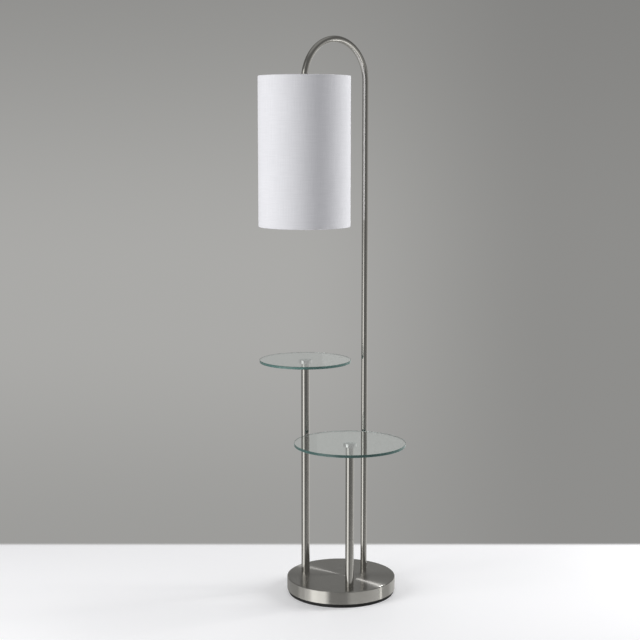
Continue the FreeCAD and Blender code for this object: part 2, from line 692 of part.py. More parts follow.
def make_bulb_globe():
    x, y = HEAD
    neck_r = BULB_NECK_DIAMETER / 2
    ball_r = BULB_DIAMETER / 2
    collar_r = THREAD_CREST_DIAMETER / 2 - REST_GAP - THREAD_DEPTH - BULB_CAP_WALL - FIT
    tangent = math.radians(NECK_TANGENT)     # where the neck's cone meets the ball, above its middle

    def half_section(inset):
        joint = Vector(x + (ball_r - inset) * math.cos(tangent), y,
                       BULB_CENTRE + (ball_r - inset) * math.sin(tangent))
        side = Vector(x + (ball_r - inset) * math.cos(math.radians(GLOBE_CUT)), y,
                      BULB_CENTRE + (ball_r - inset) * math.sin(math.radians(GLOBE_CUT)))
        bottom = Vector(x, y, BULB_BOTTOM + inset)
        neck = Vector(x + neck_r - inset, y, BULB_CAP_LOW - FIT)
        return joint, side, bottom, neck

    joint, side, bottom, neck = half_section(0)
    in_joint, in_side, in_bottom, in_neck = half_section(BULB_WALL)
    collar_top = BULB_CAP_LOW + THREAD_PITCH
    collar_out = Vector(x + collar_r, y, BULB_CAP_LOW - FIT)
    collar_high = Vector(x + collar_r, y, collar_top)
    collar_in = Vector(x + collar_r - BULB_WALL, y, collar_top)
    edges = [line(collar_high, collar_out), line(collar_out, neck), line(neck, joint),
             Part.Arc(joint, side, bottom).toShape(), line(bottom, in_bottom),
             Part.Arc(in_bottom, in_side, in_joint).toShape(),
             line(in_joint, Vector(x + collar_r - BULB_WALL, y, in_neck.z - BULB_WALL)),
             line(Vector(x + collar_r - BULB_WALL, y, in_neck.z - BULB_WALL), collar_in),
             line(collar_in, collar_high)]
    return turned_edges(edges, x, y)


STEM_HIGH = BULB_CAP_LOW + THREAD_PITCH
STEM_LOW = STEM_HIGH - STEM_LENGTH


def make_bulb_stem():
    x, y = HEAD
    flare_r = THREAD_CREST_DIAMETER / 2 - REST_GAP - THREAD_DEPTH - BULB_CAP_WALL - BULB_WALL - 2 * FIT
    return turned([(0, STEM_HIGH), (flare_r, STEM_HIGH), (flare_r, STEM_HIGH - BULB_WALL),
                   (STEM_DIAMETER / 2, STEM_HIGH - STEM_DIAMETER),
                   (STEM_DIAMETER / 4, STEM_LOW), (0, STEM_LOW)], x, y)


def make_bulb_filament():
    x, y = HEAD
    half = FILAMENT_SPREAD
    root = STEM_DIAMETER / 4 - FILAMENT_WIRE
    low = STEM_LOW - FILAMENT_DROP
    high = STEM_LOW - FILAMENT_WIRE
    points = [Vector(x - root, y, high), Vector(x - half, y, low),
              Vector(x, y, low - FILAMENT_DROP / 2), Vector(x + half, y, low),
              Vector(x + root, y, high)]
    bend = 2 * FILAMENT_WIRE
    return swept_round(route(points, [bend] * 3), FILAMENT_WIRE)


# ---- shade ----------------------------------------------------------------------
def ring_wire(height):
    x, y = HEAD
    return Part.makeTorus(RING_R, RING_WIRE / 2, Vector(x, y, height), Vector(0, 0, 1))


TOP_RING = SHADE_TOP - RING_INSET
BOTTOM_RING = SHADE_BOTTOM + RING_INSET


def hem_edges(ring_height, up):
    """Section of the fabric from the outer face over one ring to the inner face.

    It turns over the ring's wire and runs down the liner. up is +1 at the top edge.
    """
    x, y = HEAD
    inner = RING_WIRE / 2 + LAYER_GAP
    outer = inner + FABRIC
    flap_inner = FLAP_R - FABRIC
    wrap = 360 - math.degrees(math.acos((flap_inner - RING_R) / outer))

    def point(radius, drop):
        return Vector(x + radius, y, ring_height - up * drop)

    def on_wrap(radius, angle):
        turn = math.radians(angle)
        return point(RING_R + radius * math.cos(turn), -radius * math.sin(turn))

    corners = [on_wrap(outer, wrap), point(flap_inner, inner + HEM_DEPTH),
               point(FLAP_R, inner + HEM_DEPTH), point(FLAP_R, inner), on_wrap(inner, 270)]
    edges = [Part.Arc(on_wrap(outer, 0), on_wrap(outer, wrap / 2), corners[0]).toShape()]
    edges += [line(start, end) for start, end in zip(corners, corners[1:])]
    edges.append(Part.Arc(corners[-1], on_wrap(inner, 135), on_wrap(inner, 0)).toShape())
    return edges


def arm_points(angle):
    x, y = HEAD
    washer_height = ARCH_END - SPIDER_WASHER_THICKNESS / 2
    washer_r = SPIDER_WASHER_DIAMETER / 2
    stops = [(RING_R, TOP_RING), (RING_R - SPIDER_SHOULDER, TOP_RING),
             (washer_r + SPIDER_INNER_RUN, washer_height), (washer_r - RING_WIRE, washer_height)]
    turn = math.radians(angle)
    return [Vector(x + radius * math.cos(turn), y + radius * math.sin(turn), height)
            for radius, height in stops]


def arm_angles():
    return [i * 360 / SPIDER_ARMS for i in range(SPIDER_ARMS)]


def make_shade_fabric():
    x, y = HEAD
    outside = line(Vector(x + SHADE_R, y, BOTTOM_RING), Vector(x + SHADE_R, y, TOP_RING))
    inside_r = SHADE_R - FABRIC
    inside = line(Vector(x + inside_r, y, TOP_RING), Vector(x + inside_r, y, BOTTOM_RING))
    section = [outside] + hem_edges(TOP_RING, +1) + [inside] + hem_edges(BOTTOM_RING, -1)
    skin = turned_edges(Part.__sortEdges__(section), x, y)
    half_seam = math.degrees(SEAM_WIDTH / SHADE_DIAMETER)
    seam_out = Part.makeCylinder(SHADE_R + SEAM_THICKNESS, TOP_RING - BOTTOM_RING,
                                 Vector(x, y, BOTTOM_RING), Vector(0, 0, 1), 2 * half_seam)
    seam_out.rotate(Vector(x, y, 0), Vector(0, 0, 1), -half_seam)
    seam = seam_out.cut(rod(SHADE_DIAMETER - FABRIC, BOTTOM_RING - CUT_PAST, TOP_RING + CUT_PAST, x, y))
    skin = skin.fuse(seam)
    half_slit = RING_WIRE / 2 + HOLE_CLEARANCE
    for angle in arm_angles():
        slit = block(Vector(x + RING_R - SPIDER_SHOULDER, y - half_slit, TOP_RING - half_slit),
                     Vector(x + RING_R - RING_WIRE / 4, y + half_slit, TOP_RING + half_slit))
        slit.rotate(Vector(x, y, 0), Vector(0, 0, 1), angle)
        skin = skin.cut(slit)
    return skin


def make_shade_liner():
    x, y = HEAD
    room = RING_WIRE / 2 + LAYER_GAP + FABRIC + LAYER_GAP
    return sleeve(2 * LINER_R, 2 * (LINER_R - LINER), BOTTOM_RING + room, TOP_RING - room, x, y)


def make_shade_spider():
    x, y = HEAD
    bore = NIPPLE_DIAMETER + 2 * FIT
    washer = sleeve(SPIDER_WASHER_DIAMETER, bore, ARCH_END - SPIDER_WASHER_THICKNESS, ARCH_END, x, y)
    arms = []
    for angle in arm_angles():
        arm = swept_round(route(arm_points(angle), [2 * RING_WIRE] * 2), RING_WIRE)
        above = rod(SPIDER_WASHER_DIAMETER - 2 * CUT_PAST, ARCH_END, ARCH_END + RING_WIRE, x, y)
        below = rod(SPIDER_WASHER_DIAMETER - 2 * CUT_PAST, ARCH_END - SPIDER_WASHER_THICKNESS
                    - RING_WIRE, ARCH_END - SPIDER_WASHER_THICKNESS, x, y)
        arms.append(arm.cut(above).cut(below))
    return ring_wire(TOP_RING).fuse(arms + [washer]).removeSplitter()


# ---- wiring inside the lamp -------------------------------------------------------
CONNECTOR_HEIGHT = TRAY_TOP_OF_FLOOR + CONNECTOR_DIAMETER / 2 + REST_GAP


def lead_route(side):
    """One core, from its crimp connector up the pole, over the arch to its terminal."""
    y = side * LEAD_HALF_SPACING
    fan_y = side * CONNECTOR_HALF_SPACING
    mouth_x = POLE_OFFSET + CONNECTOR_DISTANCE
    crown = SPRING_HEIGHT + ARCH_R
    terminal_y = side * (TERMINAL_OFFSET - TERMINAL_HEAD_DIAMETER / 2 - LEAD_DIAMETER / 2 - REST_GAP)
    points = [Vector(mouth_x + LEAD_IN_CONNECTOR, fan_y, CONNECTOR_HEIGHT),
              Vector(mouth_x, fan_y, CONNECTOR_HEIGHT),
              Vector(POLE_OFFSET + 2 * LEAD_FAN_OUT, y, CONNECTOR_HEIGHT),
              Vector(POLE_OFFSET, y, CONNECTOR_HEIGHT),
              Vector(POLE_OFFSET, y, crown),
              Vector(-SHADE_OFFSET, y, crown),
              Vector(-SHADE_OFFSET, y, HOLDER_TOP - CAP_NECK_DEPTH),
              Vector(-SHADE_OFFSET, terminal_y, HOLDER_BODY_TOP + 2 * LEAD_DIAMETER),
              Vector(-SHADE_OFFSET, terminal_y, HOLDER_BODY_TOP + REST_GAP)]
    small = 2 * LEAD_DIAMETER
    return route(points, [small, small, LEAD_FAN_OUT, ARCH_R, ARCH_R, small / 2, small / 2])


def make_inner_lead():
    cores = []
    for side in (-1, +1):
        path = lead_route(side)
        core = swept_round(path, LEAD_DIAMETER)
        section = math.pi * LEAD_DIAMETER ** 2 / 4
        print("inner lead core: length %.0f mm, volume over section times length %.4f"
              % (path.Length, core.Volume / (section * path.Length)))
        cores.append(core)
    return group(cores)


def make_wire_connectors():
    caps = []
    for side in (-1, +1):
        mouth = Vector(POLE_OFFSET + CONNECTOR_DISTANCE, side * CONNECTOR_HALF_SPACING, CONNECTOR_HEIGHT)
        cap = Part.makeCylinder(CONNECTOR_DIAMETER / 2, CONNECTOR_LENGTH, mouth, Vector(1, 0, 0))
        bore = Part.makeCylinder(CONNECTOR_DIAMETER / 2 - CONNECTOR_WALL,
                                 CONNECTOR_LENGTH - 2 * CONNECTOR_WALL, mouth, Vector(1, 0, 0))
        caps.append(cap.cut(bore))
    return group(caps)


# ---- every piece, one file each ---------------------------------------------------
PIECES = {
    "base_cover": make_base_cover(),
    "base_tray": make_base_tray(),
    "base_weight": make_base_weight(),
    "base_pad": make_base_pad(),
    "cord_bush": make_cord_bush(),
    "upper_table_post": make_post(UPPER_POST, POST_TOPS[0]),
    "lower_table_post": make_post(LOWER_POST, POST_TOPS[1]),
    "post_foot_plugs": make_post_plugs(at_top=False),
    "post_head_plugs": make_post_plugs(at_top=True),
    "post_studs": make_post_studs(),
    "post_washers": make_post_washers(),
    "post_lock_washers": make_post_lock_washers(),
    "post_nuts": make_post_nuts(),
    "upper_glass_top": make_glass_top(UPPER_POST, UPPER_TABLE_HEIGHT, UPPER_GLASS_DIAMETER),
    "lower_glass_top": make_glass_top(LOWER_POST, LOWER_TABLE_HEIGHT, LOWER_GLASS_DIAMETER),
    "upper_glass_hub": make_hub(UPPER_POST, POST_TOPS[0]),
    "lower_glass_hub": make_hub(LOWER_POST, POST_TOPS[1]),
    "hub_studs": make_hub_studs(),
    "lamp_pole_lower": make_pole_section(BASE_HEIGHT, POLE_SEAM),
    "lamp_pole_upper": make_pole_section(POLE_SEAM, ARCH_FOOT),
    "lamp_arch": make_lamp_arch(),
    "pole_inserts": make_pole_inserts(),
    "joint_nipples": make_joint_nipples(),
    "base_nipple": make_base_nipple(),
    "base_nipple_washer": make_base_nipple_washer(),
    "base_nipple_lock_washer": make_base_nipple_lock_washer(),
    "base_nipple_nut": make_base_nipple_nut(),
    "head_nipple": make_head_nipple(),
    "head_locknut": make_head_locknut(),
    "holder_cap": make_holder_cap(),
    "holder_shell": make_holder_shell(),
    "holder_sleeve": make_holder_sleeve(),
    "holder_body": make_holder_body(),
    "holder_screw_shell": make_screw_shell(),
    "holder_centre_contact": make_centre_contact(),
    "terminal_screws": make_terminal_screws(),
    "switch_shaft": make_switch_shaft(),
    "switch_knob": make_switch_knob(),
    "bulb_globe": make_bulb_globe(),
    "bulb_cap": make_bulb_cap(),
    "bulb_insulator": make_bulb_insulator(),
    "bulb_contact": make_bulb_contact(),
    "bulb_stem": make_bulb_stem(),
    "bulb_filament": make_bulb_filament(),
    "shade_fabric": make_shade_fabric(),
    "shade_liner": make_shade_liner(),
    "shade_spider": make_shade_spider(),
    "shade_bottom_ring": ring_wire(BOTTOM_RING),
    "inner_lead": make_inner_lead(),
    "wire_connectors": make_wire_connectors(),
}

os.makedirs("parts", exist_ok=True)
for name, shape in PIECES.items():
    shape.exportStep("parts/" + name + ".step")
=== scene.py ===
"""Looks of a floor lamp with two glass table tops, in metres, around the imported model.

The camera and the lights stand in a studio frame: an angle is measured round the lamp from the
camera's direction, in degrees to the right as the camera sees it.
"""
import math

import bmesh
import bpy
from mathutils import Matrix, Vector, noise


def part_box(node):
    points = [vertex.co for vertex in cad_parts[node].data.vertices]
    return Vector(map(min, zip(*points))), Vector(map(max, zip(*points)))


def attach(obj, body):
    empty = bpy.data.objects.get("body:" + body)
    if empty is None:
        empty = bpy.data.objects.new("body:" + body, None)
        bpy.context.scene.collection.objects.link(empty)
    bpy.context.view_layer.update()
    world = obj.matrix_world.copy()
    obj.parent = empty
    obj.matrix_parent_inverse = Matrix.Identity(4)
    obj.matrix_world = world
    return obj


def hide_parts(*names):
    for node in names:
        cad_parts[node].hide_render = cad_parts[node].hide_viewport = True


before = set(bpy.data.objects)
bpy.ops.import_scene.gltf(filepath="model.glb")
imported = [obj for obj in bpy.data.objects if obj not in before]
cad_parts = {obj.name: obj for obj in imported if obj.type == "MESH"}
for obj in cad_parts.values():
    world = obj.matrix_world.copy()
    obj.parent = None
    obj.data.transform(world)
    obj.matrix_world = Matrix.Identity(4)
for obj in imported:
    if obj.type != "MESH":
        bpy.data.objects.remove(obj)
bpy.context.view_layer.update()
MM = 0.001


# ---- camera and lights --------------------------------------------------------------
CAMERA_PLACE = Vector((-2.84514, -3.08948, 1.42116))
CAMERA_PITCH = 7.8801           # degrees below the horizon
CAMERA_HEADING = -41.761        # degrees about +Z, from looking along +Y
CAMERA_LENS = 79.549            # on a sensor 36 wide
BEAM_SPREAD = 4.0               # degrees
BEAM_SOURCE = 0.15              # degrees that half the beam's source takes up, seen from the lamp


def studio_direction(angle, elevation=0.0):
    """The direction from the lamp at an angle to the right of the camera's direction."""
    turn = math.radians(CAMERA_HEADING - 90 + angle)
    rise = math.radians(elevation)
    return Vector((math.cos(turn) * math.cos(rise), math.sin(turn) * math.cos(rise), math.sin(rise)))


def add_object(name, data):
    made = bpy.data.objects.new(name, data)
    bpy.context.scene.collection.objects.link(made)
    return made


def make_camera():
    data = bpy.data.cameras.new("camera")
    data.lens = CAMERA_LENS
    data.sensor_width = 36
    data.clip_end = 50
    camera = add_object("camera", data)
    camera.location = CAMERA_PLACE
    camera.rotation_euler = (math.radians(90 - CAMERA_PITCH), 0, math.radians(CAMERA_HEADING))
    bpy.context.scene.camera = camera


def add_light(name, kind, power, place, aim):
    """A light that shines from a place to a point and isn't seen itself."""
    data = bpy.data.lights.new(name, kind)
    data.energy = power
    light = add_object(name, data)
    light.location = place
    light.rotation_euler = (aim - place).to_track_quat("-Z", "Y").to_euler()
    light.visible_camera = False
    light.visible_transmission = False
    return light


def soft_light(name, angle, distance, height, width, tall, power, aim=1.0):
    """A rectangular soft light that only matt surfaces see, aimed at a height on the origin's axis."""
    place = studio_direction(angle) * distance + Vector((0, 0, height))
    light = add_light(name, "AREA", power, place, Vector((0, 0, aim)))
    light.data.shape = "RECTANGLE"
    light.data.size = width
    light.data.size_y = tall
    light.visible_glossy = False


def glint_light(name, angle, elevation, distance, power):
    """A narrow beam on the base that only glossy surfaces see: it draws the line on the spun steel."""
    place = studio_direction(angle, elevation) * distance
    light = add_light(name, "SPOT", power, place, Vector((0, 0, 0)))
    light.data.spot_size = math.radians(BEAM_SPREAD)
    light.data.spot_blend = 0.3
    light.data.shadow_soft_size = distance * math.tan(math.radians(BEAM_SOURCE))
    light.visible_diffuse = False


# ---- shader writing -----------------------------------------------------------------
class Socket:
    """An output of a shader node. Arithmetic on it adds Math nodes to its tree."""

    def __init__(self, shader, output):
        self.shader = shader
        self.output = output

    def __add__(self, other):
        return self.shader.math("ADD", self, other)

    __radd__ = __add__

    def __sub__(self, other):
        return self.shader.math("SUBTRACT", self, other)

    def __rsub__(self, other):
        return self.shader.math("SUBTRACT", other, self)

    def __mul__(self, other):
        return self.shader.math("MULTIPLY", self, other)

    __rmul__ = __mul__

    def __abs__(self):
        return self.shader.math("ABSOLUTE", self)


class Shader:
    """A node tree under construction. Each of its nodes comes from its node method."""

    def __init__(self, tree):
        self.tree = tree
        tree.nodes.clear()

    def node(self, kind, settings=None, inputs=None, output=0):
        """Adds a node: first its settings, then the values or links of its sockets."""
        made = self.tree.nodes.new("ShaderNode" + kind)
        for name, value in (settings or {}).items():
            setattr(made, name, value)
        for key, value in (inputs or {}).items():
            if isinstance(value, Socket):
                self.tree.links.new(value.output, made.inputs[key])
            else:
                made.inputs[key].default_value = value
        return Socket(self, made.outputs[output]) if made.outputs else None

    def math(self, operation, *operands):
        return self.node("Math", {"operation": operation}, dict(enumerate(operands)))

    def place(self):
        """The point on the surface, in the piece's own frame, which is the lamp's."""
        return self.node("TexCoord", output="Object")

    def split(self, vector):
        return [self.node("SeparateXYZ", inputs={0: vector}, output=axis) for axis in "XYZ"]

    def join(self, x, y, z):
        return self.node("CombineXYZ", inputs={0: x, 1: y, 2: z})

    def dot(self, vector, other):
        return self.node("VectorMath", {"operation": "DOT_PRODUCT"}, {0: vector, 1: tuple(other)}, "Value")

    def scale(self, vector, factors):
        return self.node("VectorMath", {"operation": "MULTIPLY"}, {0: vector, 1: factors})

    def grain(self, vector, scale, detail=2.0, roughness=0.5):
        inputs = {"Vector": vector, "Scale": scale, "Detail": detail, "Roughness": roughness}
        return self.node("TexNoise", inputs=inputs)

    def ramp(self, value, low, high):
        """0 below low, 1 above high and smooth between."""
        inputs = {"Value": value, "From Min": low, "From Max": high}
        return self.node("MapRange", {"interpolation_type": "SMOOTHSTEP"}, inputs)

    def band(self, value, low, high, soft):
        """1 between low and high, 0 outside, with edges as wide as soft to either side."""
        return self.ramp(value, low - soft, low + soft) * (1 - self.ramp(value, high - soft, high + soft))

    def mix(self, factor, first, second):
        """A colour between two colours."""
        inputs = {0: factor}
        for key, colour in ((6, first), (7, second)):
            inputs[key] = colour if isinstance(colour, Socket) else (*colour, 1)
        return self.node("Mix", {"data_type": "RGBA"}, inputs, 2)

    def blend(self, factor, first, second):
        """A number between two numbers."""
        return self.node("Mix", {"data_type": "FLOAT"}, {0: factor, 2: first, 3: second})

    def bump(self, height, distance, strength=1.0):
        return self.node("Bump", inputs={"Height": height, "Distance": distance, "Strength": strength})

    def around(self, axis):
        """Distance from an upright axis, angle round it, and height, on the surface."""
        x, y, z = self.split(self.place())
        across = x - axis[0]
        along = y - axis[1]
        radius = self.math("SQRT", across * across + along * along)
        return radius, self.math("ARCTAN2", along, across), z

    def principled(self, **inputs):
        """A principled surface. The names of its sockets have underscores in place of spaces."""
        values = {}
        for name, value in inputs.items():
            values[name.replace("_", " ")] = (*value, 1) if isinstance(value, tuple) else value
        return self.node("BsdfPrincipled", inputs=values)

    def out(self, surface):
        self.node("OutputMaterial", inputs={"Surface": surface})


def new_finish(name):
    material = bpy.data.materials.new(name)
    material.use_nodes = True
    return material, Shader(material.node_tree)


# ---- finishes -------------------------------------------------------------------------
NICKEL = (0.60, 0.585, 0.555)
NICKEL_DULL = (0.56, 0.545, 0.515)
WARP_PITCH = 0.9 * MM
WEFT_PITCH = 0.8 * MM


def brushed_tube_finish():
    """Satin nickel on a drawn tube: fine lines round the tube and faint handling marks."""
    material, shader = new_finish("brushed_nickel_tube")
    place = shader.place()
    lines = shader.grain(shader.scale(place, (60, 60, 4200)), 1, 3)
    marks = shader.grain(place, 38, 3)
    shader.out(shader.principled(
        Base_Color=shader.mix(shader.ramp(lines, 0.3, 0.7), NICKEL_DULL, NICKEL), Metallic=1.0,
        Roughness=0.11 + 0.05 * lines + 0.04 * marks, Normal=shader.bump(lines, 0.0004 * MM)))
    return material


def brushed_base_finish():
    """Spun nickel on the base cover: rings round the axis, drawn more strongly in wedges."""
    material, shader = new_finish("brushed_nickel_base")
    radius, angle, height = shader.around((0, 0))
    rings = shader.grain(shader.join(radius * 2600, angle * 2, height * 2600), 1, 4, 0.6)
    wedges = shader.grain(shader.join(angle * 3.2, radius * 3, 0), 1, 2)
    shader.out(shader.principled(
        Base_Color=shader.mix(shader.ramp(rings, 0.3, 0.7), NICKEL_DULL, NICKEL), Metallic=1.0,
        Roughness=0.15 + 0.03 * rings + 0.03 * wedges, Anisotropic=1.0, Anisotropic_Rotation=0.25,
        Normal=shader.bump(rings, 0.002 * MM)))
    return material


def glass_finish(name, colour, roughness=0.0, clearness=1.0):
    """Clear float glass with faint wipe marks on its polish."""
    material, shader = new_finish(name)
    wipe = shader.grain(shader.scale(shader.place(), (9, 30, 9)), 1, 4)
    shader.out(shader.principled(
        Base_Color=colour, Roughness=roughness + 0.012 * shader.ramp(wipe, 0.5, 0.8),
        Transmission_Weight=clearness, IOR=1.52))
    return material


def metal_finish(name, dark, bright, roughness, scale=900.0, bump=0.01):
    """Bare or plated metal with fine mottling and tool marks, its bump in millimetres."""
    material, shader = new_finish(name)
    place = shader.place()
    mottle = shader.grain(place, scale, 3)
    clouds = shader.grain(place, scale / 12, 3)
    shader.out(shader.principled(
        Base_Color=shader.mix(shader.ramp(mottle * 0.6 + clouds * 0.4, 0.35, 0.65), dark, bright),
        Metallic=1.0, Roughness=roughness + 0.12 * clouds, Normal=shader.bump(mottle, bump * MM)))
    return material


def moulded_finish(name, dark, bright, roughness, scale=1500.0, bump=0.02):
    """Moulded plastic, rubber, card or paint, with a fine grain and slight clouding."""
    material, shader = new_finish(name)
    place = shader.place()
    grain = shader.grain(place, scale, 2)
    clouds = shader.grain(place, scale / 40, 3)
    shader.out(shader.principled(
        Base_Color=shader.mix(shader.ramp(clouds, 0.3, 0.7), dark, bright),
        Roughness=roughness + 0.12 * grain, Normal=shader.bump(grain, bump * MM)))
    return material


def cement_finish():
    """Cast cement: pale grey with sand grains and small pits, which are painted dark as painted shade."""
    material, shader = new_finish("cast_cement")
    place = shader.place()
    sand = shader.grain(place, 700, 5, 0.7)
    pits = shader.node("TexVoronoi", inputs={"Vector": place, "Scale": 160.0})
    pit_shade_and_depth = 1 - shader.ramp(pits, 0.05, 0.16)
    colour = shader.mix(shader.ramp(sand, 0.3, 0.7), (0.33, 0.32, 0.3), (0.55, 0.53, 0.5))
    shader.out(shader.principled(
        # The pits' dark colour is painted shade in them; the same mask also dents them in the bump.
        Base_Color=shader.mix(pit_shade_and_depth, colour, (0.2, 0.19, 0.18)), Roughness=0.9,
        Normal=shader.bump(sand - pit_shade_and_depth, 0.25 * MM)))
    return material


def fabric_finish(axis, radius):
    """White linen weave: upright threads, heavier level threads and slubs in both."""
    material, shader = new_finish("shade_linen")
    distance, angle, height = shader.around(axis)
    run = angle * radius
    warp = shader.grain(shader.join(run * 900, height * 14, distance * 300), 1, 2)
    weft = shader.grain(shader.join(run * 26, height * 1000, distance * 300), 1, 2)
    slub = shader.grain(shader.join(run * 9, height * 240, 0), 1, 3)
    cloud = shader.grain(shader.join(run * 8, height * 5, 0), 1, 2)
    upright = shader.math("SINE", run * (2 * math.pi / WARP_PITCH))
    level = shader.math("SINE", height * (2 * math.pi / WEFT_PITCH))
    weave = upright * level * 0.25 + warp * 0.5 + weft * 0.8
    tone = shader.ramp(warp * 0.45 + weft * 0.4 + slub * 0.2 + cloud * 0.15, 0.4, 0.8)
    shader.out(shader.principled(
        Base_Color=shader.mix(tone, (0.735, 0.735, 0.76), (0.82, 0.82, 0.845)), Roughness=0.88,
        Sheen_Weight=0.15, Sheen_Roughness=0.5, Normal=shader.bump(weave, 0.12 * MM, 0.8)))
    return material


def frosted_finish():
    """Frosted bulb glass: even white, with the faint cloud of an inner coating."""
    material, shader = new_finish("frosted_bulb")
    cloud = shader.grain(shader.place(), 60, 3)
    shader.out(shader.principled(
        Base_Color=shader.mix(cloud, (0.88, 0.88, 0.865), (0.93, 0.93, 0.92)),
        Roughness=0.32 + 0.08 * cloud, Transmission_Weight=0.2, IOR=1.5))
    return material


# ---- mesh making ----------------------------------------------------------------------
PLATE_SIDES = 256               # round the base and the glass tops
TUBE_SIDES = 96
ON_AXIS = 1e-7                  # an outline's point nearer the axis than this is one vertex


def new_piece(name, build, materials, sharp=35):
    """A piece whose mesh build(bm) makes, smooth but for edges past the sharp angle."""
    bm = bmesh.new()
    build(bm)
    bmesh.ops.recalc_face_normals(bm, faces=bm.faces)
    mesh = bpy.data.meshes.new(name)
    bm.to_mesh(mesh)
    bm.free()
    mesh.shade_smooth()
    mesh.set_sharp_from_angle(angle=math.radians(sharp))
    for material in materials:
        mesh.materials.append(material)
    piece = add_object(name, mesh)
    even = piece.modifiers.new("even_shading", "WEIGHTED_NORMAL")
    even.keep_sharp = True
    even.weight = 100
    return piece


def circle(sides):
    """Angles evenly spaced round a circle."""
    return [2 * math.pi * i / sides for i in range(sides)]


def arc(centre, radius, start, end, steps=6):
    """Points (radius, height) on an arc about centre, angles in degrees from outwards."""
    turns = [math.radians(start + (end - start) * i / steps) for i in range(steps + 1)]
    return [(centre[0] + radius * math.cos(t), centre[1] + radius * math.sin(t)) for t in turns]


def skin(bm, rings):
    """Faces between each ring of vertices and the next."""
    for before, after in zip(rings, rings[1:]):
        for i in range(len(before)):
            j = (i + 1) % len(before)
            bm.faces.new((before[i], before[j], after[j], after[i]))


def lathe(bm, outline, axis, sides, closed=True, slots=None):
    """Turns an outline of (radius, height) about an upright axis. slots gives a row's material."""
    rings = []
    for radius, height in outline:
        if radius < ON_AXIS:
            rings.append([bm.verts.new((axis[0], axis[1], height))])
            continue
        rings.append([bm.verts.new((axis[0] + radius * math.cos(t), axis[1] + radius * math.sin(t), height))
                      for t in circle(sides)])
    pairs = list(zip(rings, rings[1:] + rings[:1]))
    if not closed:
        pairs = pairs[:-1]
    for row, (lower, upper) in enumerate(pairs):
        for i in range(sides):
            j = (i + 1) % sides
            corners = [lower[i % len(lower)], lower[j % len(lower)],
                       upper[j % len(upper)], upper[i % len(upper)]]
            face = bm.faces.new(list(dict.fromkeys(corners)))
            if slots:
                face.material_index = slots[row]


def box_centre(node):
    low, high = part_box(node)
    return (low + high) / 2


def stand_in(piece, node):
    """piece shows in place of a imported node, and rides on the stand."""
    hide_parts(node)
    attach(piece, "stand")


# ---- metal pieces ---------------------------------------------------------------------
COVER_EDGE = 2.5 * MM
COVER_WALL = 1.0 * MM
COVER_LIP = 0.3 * MM
TUBE_EASE = 0.3 * MM            # the eased rim of a cut tube end
POST_WALL = 1.2 * MM
POLE_WALL = 1.0 * MM
ARCH_STEPS = 72
ARCH_END_CLEAR = 2.0 * MM       # the arch's cut end above the locknut


def make_base_cover(material):
    """The spun steel cover: a flat top, a rolled edge and a straight skirt."""
    low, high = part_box("base_cover")
    outer = (high.x - low.x) / 2
    corner = (outer - COVER_EDGE, high.z - COVER_EDGE)
    outline = [(0, high.z), (outer / 2, high.z)]
    outline += arc(corner, COVER_EDGE, 90, 0, 10)
    outline += arc((outer - COVER_LIP, low.z + COVER_LIP), COVER_LIP, 0, -90, 3)
    outline += [(outer - COVER_WALL, low.z)]
    outline += arc(corner, COVER_EDGE - COVER_WALL, 0, 90, 6)
    outline += [(0, high.z - COVER_WALL)]

    def build(bm):
        lathe(bm, outline, (0, 0), PLATE_SIDES, closed=False)

    stand_in(new_piece("brushed_base_cover", build, [material]), "base_cover")


def make_tube(name, node, wall, material):
    """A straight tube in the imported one's place, its cut ends eased."""
    low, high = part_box(node)
    centre = (low + high) / 2
    outer = (high.x - low.x) / 2
    outline = [(outer - wall, low.z), (outer - TUBE_EASE, low.z)]
    outline += arc((outer - TUBE_EASE, low.z + TUBE_EASE), TUBE_EASE, -90, 0, 3)[1:]
    outline += arc((outer - TUBE_EASE, high.z - TUBE_EASE), TUBE_EASE, 0, 90, 3)
    outline += [(outer - wall, high.z)]

    def build(bm):
        lathe(bm, outline, (centre.x, centre.y), TUBE_SIDES)

    stand_in(new_piece(name, build, [material]), node)


def make_arch(material):
    """The bent top tube: a leg over the pole, a half circle and a short leg to the shade."""
    low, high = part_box("lamp_arch")
    outer = (high.y - low.y) / 2
    bend = (high.x - low.x) / 2 - outer
    spring = Vector(((low.x + high.x) / 2, 0, high.z - outer - bend))
    end = max(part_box("shade_spider")[0].z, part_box("head_locknut")[1].z + ARCH_END_CLEAR)
    centreline = [(Vector((high.x - outer, 0, low.z)), Vector((1, 0, 0)))]
    for i in range(ARCH_STEPS + 1):
        turn = math.pi * i / ARCH_STEPS
        out = Vector((math.cos(turn), 0, math.sin(turn)))
        centreline.append((spring + out * bend, out))
    centreline.append((Vector((box_centre("head_nipple").x, 0, end)), Vector((-1, 0, 0))))

    def build(bm):
        walls = []
        for radius in (outer, outer - POLE_WALL):
            rings = []
            for place, out in centreline:
                rings.append([bm.verts.new(place + out * (radius * math.cos(t))
                                           + Vector((0, radius * math.sin(t), 0)))
                              for t in circle(TUBE_SIDES)])
            walls.append(rings)
            skin(bm, rings)
        for end_ring in (0, -1):
            skin(bm, [walls[0][end_ring], walls[1][end_ring]])

    stand_in(new_piece("bent_arch_tube", build, [material]), "lamp_arch")


# ---- glass ----------------------------------------------------------------------------
BOND = 0.1 * MM                 # the clear film between a plate and its hub
ARRIS = 0.9 * MM


def make_glass_top(name, node, face, edge):
    """A round plate with a flat polished edge between two small arrises."""
    low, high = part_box(node)
    centre = (low + high) / 2
    outer = (high.x - low.x) / 2
    underside = low.z + BOND
    outline = [(0, underside)]
    outline += arc((outer - ARRIS, underside + ARRIS), ARRIS, -90, 0, 5)
    outline += arc((outer - ARRIS, high.z - ARRIS), ARRIS, 0, 90, 5)
    outline += [(0, high.z)]
    # The edge rows take the second material, the darker copy of the glass that carries painted shade.
    rim = [0] + [1] * (len(outline) - 3) + [0]

    def build(bm):
        lathe(bm, outline, (centre.x, centre.y), PLATE_SIDES, closed=False, slots=rim)

    stand_in(new_piece(name, build, [face, edge]), node)


